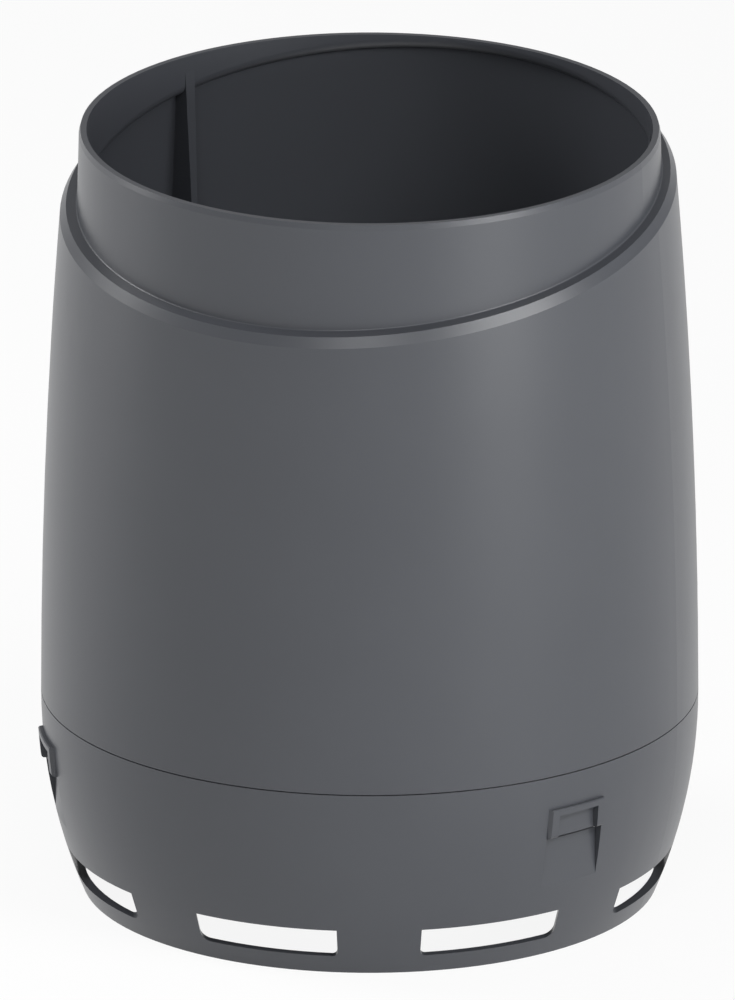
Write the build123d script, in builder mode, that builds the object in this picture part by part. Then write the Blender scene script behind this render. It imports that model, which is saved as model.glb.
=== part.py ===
from build123d import *
import os
from math import atan2, cos, degrees, radians, sin, sqrt, tan

# Roof vent cowl: a barrelled upper shell with a slanted shoulder and an open collar,
# snapped onto a slotted lower ring. Origin at the centre of the base, +Z up, and the
# shoulder lowest on the -Y side, which is the front. Millimetres and degrees.

# Overall form
seam_radius = 140.0      # widest radius, where the two mouldings meet
seam_height = 86.0       # base to seam
rim_height = 338.0       # base to the collar's top edge
shell_lean = 11.0        # how far the barrelled side has come in at the rim's level
base_setback = 17.5      # how far the ring's curved side has come in at the base
wall = 3.2               # wall of the upper cowl
ring_wall = 3.9          # wall of the lower ring
base_edge = 1.2          # width of the ring's bottom edge, outside a straight bore

# Shoulder and collar
collar_setback = 16.0          # collar's outside at the rim, in from the widest radius
collar_draft = 1.5             # both faces of the collar widen downwards
collar_height_front = 48.1     # rim down to the shoulder at the front
collar_height_back = 3.3       # rim down to the shoulder at the back
shoulder_bevel_flat = 2.3      # bevel of the shoulder's edge, along the flat
shoulder_bevel_side = 4.0      # the same bevel, down the side
rim_bevel_height = 2.4
rim_bevel_width = 0.6
collar_root_fillet = 0.8
root_fillet_share = 0.7        # most that the fillet takes of the collar's plain height at the back
throat_round = 5.0             # rounded inner edge under the collar

# Seam between the mouldings
seam_gap = 0.5           # width of the shadow line
seam_gap_depth = 1.4
lip_engagement = 6.0     # how far the cowl's lip reaches down into the ring
lip_root = 8.0           # how far the lip runs up the shell
lip_thickness = 3.2
lip_clearance = 0.3

# Inner ribs of the cowl
rib_count = 3
rib_start_depth = 7.0    # below the rim, where a rib leaves the collar's wall
rib_foot_depth = 112.0   # below the rim
rib_thickness = 5.2      # at the rim
rib_draft = 0.9          # each side thins downwards
rib_lean = 3.0           # the inner edge leans inwards going down

# Drain slots of the ring, all cut along one line that runs between two of them
slot_count = 8
slot_half_angle = 14.2
slot_first_angle = 22.2  # middle of the slots next to that line, away from it
slot_bottom = 8.4
slot_height = 13.1
slot_near_round = 2.2    # bottom corner towards the line
slot_far_round = 5.0     # bottom corner away from it

# Snap windows of the ring
snap_count = 3
snap_drop = 14.6         # seam down to the top of a window's frame
snap_height = 13.1
snap_rise = 2.0          # how far the frame stands out of the ring
snap_base_half_angle = 6.2
snap_face_half_angle = 5.75
snap_roof = 2.9
snap_side = 3.5
snap_corner_round = 1.4
snap_top_bevel = 0.5
panel_inset = 1.1        # panel in the frame, in from the ring's face at mid height
slit_height = 2.3        # opening under the panel, where the catch shows

# Latch tongues of the cowl and the catches of the ring that hold them
catch_depth = 2.2        # catch, in from the ring's inner face
catch_height = 8.0
catch_lead = 4.0         # sloped part of that height, at the top
latch_clearance = 0.3
hook_clearance = 0.6     # hook's tip to the ring's inner face
hook_land = 0.9
hook_ramp = 4.6
tongue_thickness = 2.4
tongue_half_angle = 6.5
tongue_bridge = 0.8      # overlap of a tongue's root with the lip

# Cutting tools reach this far past what they cut
cut_margin = 5.0


# Both sides are arcs that stand upright at the seam
shell_arc = ((rim_height - seam_height) ** 2 + shell_lean**2) / (2 * shell_lean)
ring_arc = (seam_height**2 + base_setback**2) / (2 * base_setback)


def front_angle(angle):
    """Turn an angle measured from the front towards +X into one measured from +X."""
    return angle - 90.0


def shell_radius(height, inset=0.0):
    """Radius of the shell's side at a height, or of a side inset from it."""
    return seam_radius - shell_arc + sqrt((shell_arc - inset) ** 2 - (height - seam_height) ** 2)


def ring_radius(height, offset=0.0):
    """Radius of the ring's outer curve at a height, or of a curve offset from it."""
    return seam_radius - ring_arc + sqrt((ring_arc + offset) ** 2 - (height - seam_height) ** 2)


def radial_plane(angle):
    """Vertical plane through the axis, with its x outwards at an angle from +X and its y up."""
    return Plane(
        origin=(0, 0, 0),
        x_dir=(cos(radians(angle)), sin(radians(angle)), 0),
        z_dir=(sin(radians(angle)), -cos(radians(angle)), 0),
    )


# Collar and shoulder, worked out from the sizes above
collar_rim_radius = seam_radius - collar_setback
collar_slope = tan(radians(collar_draft))
rim_bevel_base = rim_height - rim_bevel_height


def collar_radius(height, inset=0.0):
    """Radius of the collar's outside at a height, or of a face inset from it."""
    drafted = collar_rim_radius + (rim_bevel_base - height) * collar_slope
    return drafted - inset / cos(radians(collar_draft))


front_foot = rim_height - collar_height_front
back_foot = rim_height - collar_height_back
front_foot_radius = collar_radius(front_foot)
back_foot_radius = collar_radius(back_foot)
shoulder_run = front_foot_radius + back_foot_radius
shoulder_tilt = degrees(atan2(back_foot - front_foot, shoulder_run))
shoulder_height = front_foot + front_foot_radius * tan(radians(shoulder_tilt))
shoulder_plane = Plane(
    origin=(0, 0, shoulder_height),
    x_dir=(1, 0, 0),
    z_dir=(0, -sin(radians(shoulder_tilt)), cos(radians(shoulder_tilt))),
)
shoulder_normal = Axis(shoulder_plane.origin, shoulder_plane.z_dir)
plain_height_back = collar_height_back - rim_bevel_height
root_fillet = min(collar_root_fillet, root_fillet_share * plain_height_back)


def cowl_form(inset, collar_top):
    """The cowl's outside as one filled form, or the same form inset all over."""
    barrel_top = rim_height + collar_height_front
    collar_base = front_foot - collar_height_front
    with BuildPart() as form:
        with BuildSketch(Plane.XZ):
            with BuildLine():
                low = (shell_radius(seam_height, inset), seam_height)
                middle_height = (seam_height + barrel_top) / 2
                middle = (shell_radius(middle_height, inset), middle_height)
                high = (shell_radius(barrel_top, inset), barrel_top)
                ThreePointArc(low, middle, high)
                Polyline(high, (0, barrel_top), (0, seam_height), low)
            make_face()
        revolve(axis=Axis.Z)
        split(bisect_by=shoulder_plane.offset(-inset), keep=Keep.BOTTOM)
        with BuildSketch(Plane.XZ):
            with BuildLine():
                Polyline(
                    (0, collar_base),
                    (collar_radius(collar_base, inset), collar_base),
                    (collar_radius(collar_top, inset), collar_top),
                    (0, collar_top),
                    close=True,
                )
            make_face()
        revolve(axis=Axis.Z)
    return form.part


# Filled forms that the cowl is cut from
outer_form = cowl_form(0, rim_height)
inner_form = cowl_form(wall, rim_height + cut_margin)
mid_wall_form = cowl_form(wall / 2, rim_height)

# One inner rib, at +X: a flat web with a leaning inner edge and drafted sides
rib_top = rim_height - rib_start_depth
rib_foot = rim_height - rib_foot_depth
rib_top_radius = collar_radius(rib_top, wall)
rib_foot_radius = rib_top_radius - (rib_top - rib_foot) * tan(radians(rib_lean))
rib_foot_thickness = rib_thickness - 2 * rib_foot_depth * tan(radians(rib_draft))

with BuildPart() as rib:
    with BuildSketch(Plane.XZ):
        with BuildLine():
            Polyline(
                (rib_top_radius, rib_top),
                (rib_foot_radius, rib_foot),
                (seam_radius, rib_foot),
                (seam_radius, rib_top),
                close=True,
            )
        make_face()
    extrude(amount=rib_thickness, both=True)
    with BuildSketch(Plane.YZ):
        with BuildLine():
            Polyline(
                (-rib_foot_thickness / 2, rib_foot),
                (rib_foot_thickness / 2, rib_foot),
                (rib_thickness / 2, rim_height),
                (-rib_thickness / 2, rim_height),
                close=True,
            )
        make_face()
    extrude(amount=seam_radius, mode=Mode.INTERSECT)

# All ribs, ended inside the wall that carries them
with BuildPart() as ribs:
    with PolarLocations(0, rib_count, start_angle=front_angle(0)):
        add(rib.part)
    add(mid_wall_form, mode=Mode.INTERSECT)

# Heights and radii of the snap fit, shared by both mouldings
snap_top = seam_height - snap_drop
snap_bottom = snap_top - snap_height
ring_inner_at_catch = ring_radius(snap_bottom, -ring_wall)
panel_radius = ring_radius((snap_top + snap_bottom) / 2) - panel_inset
relief_radius = ring_radius(snap_bottom - slit_height, -ring_wall)
catch_radius = ring_inner_at_catch - catch_depth
tongue_outer = catch_radius - latch_clearance
tongue_inner = tongue_outer - tongue_thickness
hook_tip = ring_inner_at_catch - hook_clearance
hook_top = snap_bottom - latch_clearance
lip_base = seam_height - lip_engagement
lip_outer = ring_radius(lip_base, -ring_wall) - lip_clearance
lip_inner = lip_outer - lip_thickness
snap_start = front_angle(180 / snap_count)

# One latch tongue, at +X, with its hook pointing outwards
with BuildPart() as tongue:
    with BuildSketch(radial_plane(-tongue_half_angle)):
        with BuildLine():
            hook_base = hook_top - hook_land - hook_ramp
            Polyline(
                (tongue_inner, seam_height),
                (lip_inner + tongue_bridge, seam_height),
                (lip_inner + tongue_bridge, lip_base + tongue_bridge),
                (tongue_outer, lip_base - lip_thickness),
                (tongue_outer, hook_top),
                (hook_tip, hook_top),
                (hook_tip, hook_top - hook_land),
                (tongue_outer, hook_base),
                (tongue_inner, hook_base),
                close=True,
            )
        make_face()
    revolve(axis=Axis.Z, revolution_arc=2 * tongue_half_angle)

# Upper cowl: shell, shoulder and collar in one moulding
with BuildPart() as upper_cowl:
    add(outer_form)

    # Bevels of the shoulder's edge and of the rim, and the small fillet at the collar's root
    shoulder = faces().filter_by(shoulder_normal)[0]
    shoulder_edge = shoulder.outer_wire().edges()
    chamfer(shoulder_edge, shoulder_bevel_flat, shoulder_bevel_side, reference=shoulder)
    rim = faces().sort_by(Axis.Z)[-1]
    chamfer(rim.outer_wire().edges(), rim_bevel_width, rim_bevel_height, reference=rim)
    collar_root = faces().filter_by(shoulder_normal)[0].inner_wires()[0].edges()
    fillet(collar_root, root_fillet)

    # Hollow inside, with a rounded edge where the collar's bore opens into the shell
    add(inner_form, mode=Mode.SUBTRACT)
    throat = faces().filter_by(shoulder_normal).sort_by(Axis.Z)[0].inner_wires()[0].edges()
    fillet(throat, throat_round)

    # Shadow line at the seam
    with BuildSketch(Plane.XZ):
        with Locations((seam_radius, seam_height)):
            Rectangle(2 * seam_gap_depth, 2 * seam_gap)
    revolve(axis=Axis.Z, mode=Mode.SUBTRACT)

    # Lip that locates the ring, run up the shell's inner face
    with BuildSketch(Plane.XZ):
        with BuildLine():
            Polyline(
                (lip_inner, lip_base),
                (lip_outer, lip_base),
                (lip_outer, seam_height),
                (seam_radius - wall / 2, seam_height),
                (seam_radius - wall / 2, seam_height + lip_root),
                (lip_inner, seam_height + lip_root - lip_thickness),
                close=True,
            )
        make_face()
    revolve(axis=Axis.Z)

    add(ribs.part)
    with PolarLocations(0, snap_count, start_angle=snap_start):
        add(tongue.part)

# Drain slots, cut level along one line, so that their ends run along it as well
slot_top = slot_bottom + slot_height
slot_step = 360 / slot_count
slot_line = front_angle(slot_step / 2)

with BuildPart() as slots:
    for slot_index in range(slot_count // 4):
        slot_angle = slot_first_angle + slot_index * slot_step
        near_end = sin(radians(slot_angle - slot_half_angle))
        far_end = sin(radians(slot_angle + slot_half_angle))
        with BuildSketch(radial_plane(slot_line + 90)):
            with BuildLine():
                Polyline(
                    (ring_radius(slot_bottom) * near_end, slot_bottom),
                    (ring_radius(slot_bottom) * far_end, slot_bottom),
                    (ring_radius(slot_top) * far_end, slot_top),
                    (ring_radius(slot_top) * near_end, slot_top),
                    close=True,
                )
            make_face()
            fillet(vertices().group_by(Axis.Y)[0].sort_by(Axis.X)[0], slot_near_round)
            fillet(vertices().group_by(Axis.Y)[0].sort_by(Axis.X)[-1], slot_far_round)
        extrude(amount=seam_radius)
    mirror(about=radial_plane(slot_line))
    mirror(about=radial_plane(slot_line + 90))

# Frame of one snap window, at +X: sloped sides, and a face that follows the ring's curve
base_radius = ring_radius((snap_top + snap_bottom) / 2)
base_reach = base_radius * cos(radians(snap_base_half_angle))
base_half_width = base_radius * sin(radians(snap_base_half_angle))
face_radius = base_radius + snap_rise
face_reach = face_radius * cos(radians(snap_face_half_angle))
face_half_width = face_radius * sin(radians(snap_face_half_angle))
side_slope = (base_half_width - face_half_width) / (face_reach - base_reach)

with BuildPart() as snap_frame:
    with BuildSketch(Plane.XY.offset(snap_bottom)):
        with BuildLine():
            frame_root = ring_radius(snap_bottom, -ring_wall / 2)
            frame_tip = face_reach + snap_rise
            tip_half_width = face_half_width - snap_rise * side_slope
            Polyline(
                (frame_root, -base_half_width),
                (base_reach, -base_half_width),
                (frame_tip, -tip_half_width),
                (frame_tip, tip_half_width),
                (base_reach, base_half_width),
                (frame_root, base_half_width),
                close=True,
            )
        make_face()
    extrude(amount=snap_height)
    with BuildSketch(Plane.XZ):
        with BuildLine():
            face_low = (ring_radius(0, snap_rise), 0)
            face_middle = (ring_radius(seam_height / 2, snap_rise), seam_height / 2)
            face_high = (ring_radius(seam_height, snap_rise), seam_height)
            ThreePointArc(face_low, face_middle, face_high)
            Polyline(face_high, (0, seam_height), (0, 0), face_low)
        make_face()
    revolve(axis=Axis.Z, mode=Mode.INTERSECT)
    fillet(edges().group_by(Axis.Z)[0].sort_by(Axis.X)[-1], snap_corner_round)
    chamfer(edges().group_by(Axis.Z)[-1].sort_by(Axis.X)[-1], snap_top_bevel)

# Opening of one snap window, in front of its panel
with BuildPart() as snap_window:
    with BuildSketch(Plane.XY.offset(snap_bottom - cut_margin)):
        with Locations((panel_radius, 0)):
            Rectangle(2 * cut_margin, 2 * (face_half_width - snap_side))
        Circle(panel_radius, mode=Mode.SUBTRACT)
    extrude(amount=cut_margin + snap_height - snap_roof)

# Relief under one snap window, drawn straight down until it runs out of the tapering wall
with BuildPart() as snap_relief:
    with BuildSketch():
        relief_reach = seam_radius - relief_radius + cut_margin
        with Locations((seam_radius, 0)):
            Rectangle(2 * relief_reach, 2 * base_half_width)
        Circle(relief_radius, mode=Mode.SUBTRACT)
    extrude(amount=snap_bottom)

# Catch behind one snap window, with a lead-in slope for the hook
with BuildPart() as catch:
    with BuildSketch(radial_plane(-snap_face_half_angle)):
        with BuildLine():
            catch_top = snap_bottom + catch_height
            Polyline(
                (catch_radius, snap_bottom),
                (ring_radius(snap_bottom, -ring_wall / 2), snap_bottom),
                (ring_radius(catch_top, -ring_wall / 2), catch_top),
                (ring_radius(catch_top, -ring_wall), catch_top),
                (catch_radius, catch_top - catch_lead),
                close=True,
            )
        make_face()
    revolve(axis=Axis.Z, revolution_arc=2 * snap_face_half_angle)

# Lower ring: curved skirt with drain slots and snap windows
with BuildPart() as lower_ring:
    with BuildSketch(Plane.XZ):
        with BuildLine():
            outer_low = (ring_radius(0), 0)
            outer_high = (seam_radius, seam_height)
            inner_low = (ring_radius(0, -ring_wall), 0)
            inner_high = (seam_radius - ring_wall, seam_height)
            middle_height = seam_height / 2
            ThreePointArc(outer_low, (ring_radius(middle_height), middle_height), outer_high)
            ThreePointArc(inner_low, (ring_radius(middle_height, -ring_wall), middle_height), inner_high)
            Line(outer_low, inner_low)
            Line(outer_high, inner_high)
        make_face()
    revolve(axis=Axis.Z)

    # Straight bore at the base, where the wall narrows most
    with BuildSketch():
        Circle(ring_radius(0) - base_edge)
    extrude(amount=seam_height, mode=Mode.SUBTRACT)

    # Snap windows with their catches, and the drain slots
    with PolarLocations(0, snap_count, start_angle=snap_start):
        add(snap_frame.part)
    with PolarLocations(0, snap_count, start_angle=snap_start):
        add(catch.part)
    with PolarLocations(0, snap_count, start_angle=snap_start):
        add(snap_window.part, mode=Mode.SUBTRACT)
    with PolarLocations(0, snap_count, start_angle=snap_start):
        add(snap_relief.part, mode=Mode.SUBTRACT)
    add(slots.part, mode=Mode.SUBTRACT)

upper_cowl.part.label = "upper_cowl"
lower_ring.part.label = "lower_ring"
os.makedirs("parts", exist_ok=True)
export_step(upper_cowl.part, "parts/upper_cowl.step")
export_step(lower_ring.part, "parts/lower_ring.step")
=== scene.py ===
from math import cos, radians, sin

import bpy
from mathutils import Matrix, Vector


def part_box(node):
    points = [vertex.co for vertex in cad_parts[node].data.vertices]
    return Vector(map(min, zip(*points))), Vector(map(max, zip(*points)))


# Roof vent cowl: two anthracite mouldings, seen as in a product photograph on white.
# Metres and degrees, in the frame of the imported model: +Z up, the low side of the shoulder at -Y.

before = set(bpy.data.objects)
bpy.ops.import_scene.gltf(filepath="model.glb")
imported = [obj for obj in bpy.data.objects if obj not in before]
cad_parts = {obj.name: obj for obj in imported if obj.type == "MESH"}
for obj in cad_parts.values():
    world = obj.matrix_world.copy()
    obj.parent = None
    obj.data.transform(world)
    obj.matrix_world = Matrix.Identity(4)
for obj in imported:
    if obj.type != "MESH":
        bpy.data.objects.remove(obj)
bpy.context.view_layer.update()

# Photograph's frame, and where the cowl stands in it
image_height = 1000           # pixels
pixel = 0.42592e-3            # size of one pixel at the cowl
seam_in_image = 686.7         # seam circle's centre, pixels below the image's top edge
axis_offset = 2.25            # cowl's axis, pixels right of the image's middle
camera_turn = 20.7            # towards +X from the front
camera_rise = 19.47           # above the horizon
camera_distance = 3.0

seam_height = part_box("lower_ring")[1].z


def linear(hex_colour):
    """Linear RGBA of an sRGB hex colour."""
    channels = [int(hex_colour[i:i + 2], 16) / 255 for i in (1, 3, 5)]
    return [c / 12.92 if c <= 0.04045 else ((c + 0.055) / 1.055) ** 2.4 for c in channels] + [1.0]


def add_node(tree, kind, settings=None, values=None, links=None):
    """Add a node: settings by name, values by socket, and links by socket from (node, output) pairs."""
    node = tree.nodes.new(kind)
    for name, setting in (settings or {}).items():
        setattr(node, name, setting)
    for socket, value in (values or {}).items():
        node.inputs[socket].default_value = value
    for socket, (source, output) in (links or {}).items():
        tree.links.new(source.outputs[output], node.inputs[socket])
    return node


def towards(turn, rise):
    """Unit vector at an angle from the front towards +X, and above the horizon."""
    level = cos(radians(rise))
    return Vector((sin(radians(turn)) * level, -cos(radians(turn)) * level, sin(radians(rise))))


# Camera at the photograph's angle. Upright edges show no convergence, so it has no perspective
def make_camera():
    data = bpy.data.cameras.new("photo_camera")
    data.type = "ORTHO"
    data.ortho_scale = image_height * pixel
    camera = bpy.data.objects.new("photo_camera", data)
    bpy.context.scene.collection.objects.link(camera)
    back = towards(camera_turn, camera_rise)
    right = towards(camera_turn + 90, 0)
    rows_below_middle = seam_in_image - image_height / 2
    middle_height = seam_height + rows_below_middle * pixel / cos(radians(camera_rise))
    target = Vector((0, 0, middle_height)) - right * axis_offset * pixel
    camera.location = target + back * camera_distance
    camera.rotation_euler = (-back).to_track_quat("-Z", "Y").to_euler()
    bpy.context.scene.camera = camera


# Anthracite polypropylene, injection moulded in a finely spark-eroded tool: an even dark grey with a
# faint cool cast and a soft, wide highlight
def moulded_polypropylene():
    dark_grey = "#3f4146"
    light_grey = "#43454a"
    smoothest = 0.33
    roughest = 0.37
    grain_size = 0.9e-3       # drawn coarser than a real tool's grain, so that it shows at all
    flow_size = 60e-3         # faint patches where the melt cooled unevenly
    material = bpy.data.materials.new("moulded_polypropylene")
    material.use_nodes = True
    tree = material.node_tree
    tree.nodes.clear()
    place = add_node(tree, "ShaderNodeTexCoord")
    grain = add_node(
        tree, "ShaderNodeTexNoise",
        values={"Scale": 1 / grain_size, "Detail": 3.0, "Roughness": 0.6},
        links={"Vector": (place, "Object")},
    )
    flow = add_node(
        tree, "ShaderNodeTexNoise",
        values={"Scale": 1 / flow_size, "Detail": 2.0, "Roughness": 0.5},
        links={"Vector": (place, "Object")},
    )
    colour = add_node(
        tree, "ShaderNodeMix", {"data_type": "RGBA"},
        {"A": linear(dark_grey), "B": linear(light_grey)},
        {"Factor": (flow, "Fac")},
    )
    gloss = add_node(
        tree, "ShaderNodeMapRange",
        values={"To Min": smoothest, "To Max": roughest},
        links={"Value": (grain, "Fac")},
    )
    relief = add_node(
        tree, "ShaderNodeBump",
        values={"Strength": 0.12, "Distance": 0.05e-3},
        links={"Height": (grain, "Fac")},
    )
    shader = add_node(
        tree, "ShaderNodeBsdfPrincipled",
        values={"IOR": 1.49, "Metallic": 0.0},
        links={
            "Base Color": (colour, "Result"),
            "Roughness": (gloss, "Result"),
            "Normal": (relief, "Normal"),
        },
    )
    add_node(tree, "ShaderNodeOutputMaterial", links={"Surface": (shader, "BSDF")})
    return material


def dress_nodes():
    plastic = moulded_polypropylene()
    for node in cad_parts.values():
        node.data.materials.clear()
        node.data.materials.append(plastic)


# Studio: white floor, pale surroundings and soft lamps
def whiten_where_seen(tree, lit, white_share):
    """Mix a share of white into what the camera, reflections and refractions see of a lit surface."""
    path = add_node(tree, "ShaderNodeLightPath")
    direct = add_node(
        tree, "ShaderNodeMath", {"operation": "MAXIMUM"},
        links={0: (path, "Is Camera Ray"), 1: (path, "Is Glossy Ray")},
    )
    seen = add_node(
        tree, "ShaderNodeMath", {"operation": "MAXIMUM"},
        links={0: (direct, "Value"), 1: (path, "Is Transmission Ray")},
    )
    share = add_node(
        tree, "ShaderNodeMath", {"operation": "MULTIPLY"},
        {1: white_share},
        {0: (seen, "Value")},
    )
    white = add_node(tree, "ShaderNodeEmission", values={"Color": linear("#ffffff"), "Strength": 1.0})
    return add_node(
        tree, "ShaderNodeMixShader",
        links={0: (share, "Value"), 1: lit, 2: (white, "Emission")},
    )


def make_floor():
    floor_half = 4.0
    white_share = 0.9         # the rest keeps the cowl's shadow
    mesh = bpy.data.meshes.new("studio_floor")
    corners = [(-floor_half, -floor_half, 0), (floor_half, -floor_half, 0),
               (floor_half, floor_half, 0), (-floor_half, floor_half, 0)]
    mesh.from_pydata(corners, [], [(0, 1, 2, 3)])
    floor = bpy.data.objects.new("studio_floor", mesh)
    bpy.context.scene.collection.objects.link(floor)
    material = bpy.data.materials.new("white_card")
    material.use_nodes = True
    tree = material.node_tree
    tree.nodes.clear()
    card = add_node(tree, "ShaderNodeBsdfDiffuse", values={"Color": linear("#ececec")})
    shown = whiten_where_seen(tree, (card, "BSDF"), white_share)
    add_node(tree, "ShaderNodeOutputMaterial", links={"Surface": (shown, "Shader")})
    mesh.materials.append(material)


def make_world():
    """Surroundings that are white up to the horizon, where low views see them, and dimmer overhead."""
    horizon = 1.0
    overhead = 0.36
    fade_angle = 6.0          # above the horizon
    world = bpy.data.worlds.new("studio")
    world.use_nodes = True
    tree = world.node_tree
    tree.nodes.clear()
    place = add_node(tree, "ShaderNodeTexCoord")
    axes = add_node(tree, "ShaderNodeSeparateXYZ", links={"Vector": (place, "Generated")})
    level = add_node(
        tree, "ShaderNodeMapRange",
        values={"From Max": sin(radians(fade_angle)), "To Min": horizon, "To Max": overhead},
        links={"Value": (axes, "Z")},
    )
    room = add_node(
        tree, "ShaderNodeBackground",
        values={"Color": linear("#ffffff")},
        links={"Strength": (level, "Result")},
    )
    add_node(tree, "ShaderNodeOutputWorld", links={"Surface": (room, "Background")})
    bpy.context.scene.world = world


def add_lamp(name, turn, rise, size, power):
    """Rectangular soft lamp, turned from the camera's side, risen above the horizon, aimed at the seam."""
    distance = 1.7
    data = bpy.data.lights.new(name, "AREA")
    data.shape = "RECTANGLE"
    data.size, data.size_y = size
    data.energy = power
    lamp = bpy.data.objects.new(name, data)
    bpy.context.scene.collection.objects.link(lamp)
    away = towards(camera_turn + turn, rise)
    lamp.location = Vector((0, 0, seam_height)) + away * distance
    lamp.rotation_euler = (-away).to_track_quat("-Z", "Y").to_euler()


# Two key lamps draw the highlights on the shell and the bevels, and two on the left light its edge
def light_studio():
    add_lamp("key_softbox", turn=48, rise=38, size=(0.9, 0.3), power=13.5)
    add_lamp("key_strip", turn=47, rise=9, size=(0.7, 0.25), power=11.5)
    add_lamp("front_fill", turn=-6, rise=38, size=(0.5, 0.5), power=4.2)
    add_lamp("left_softbox", turn=-108, rise=38, size=(0.7, 0.5), power=13.5)
    add_lamp("left_strip", turn=-98, rise=10, size=(0.5, 0.8), power=3.0)


make_camera()
make_world()
make_floor()
light_studio()
dress_nodes()

bpy.context.scene.view_settings.view_transform = "Standard"
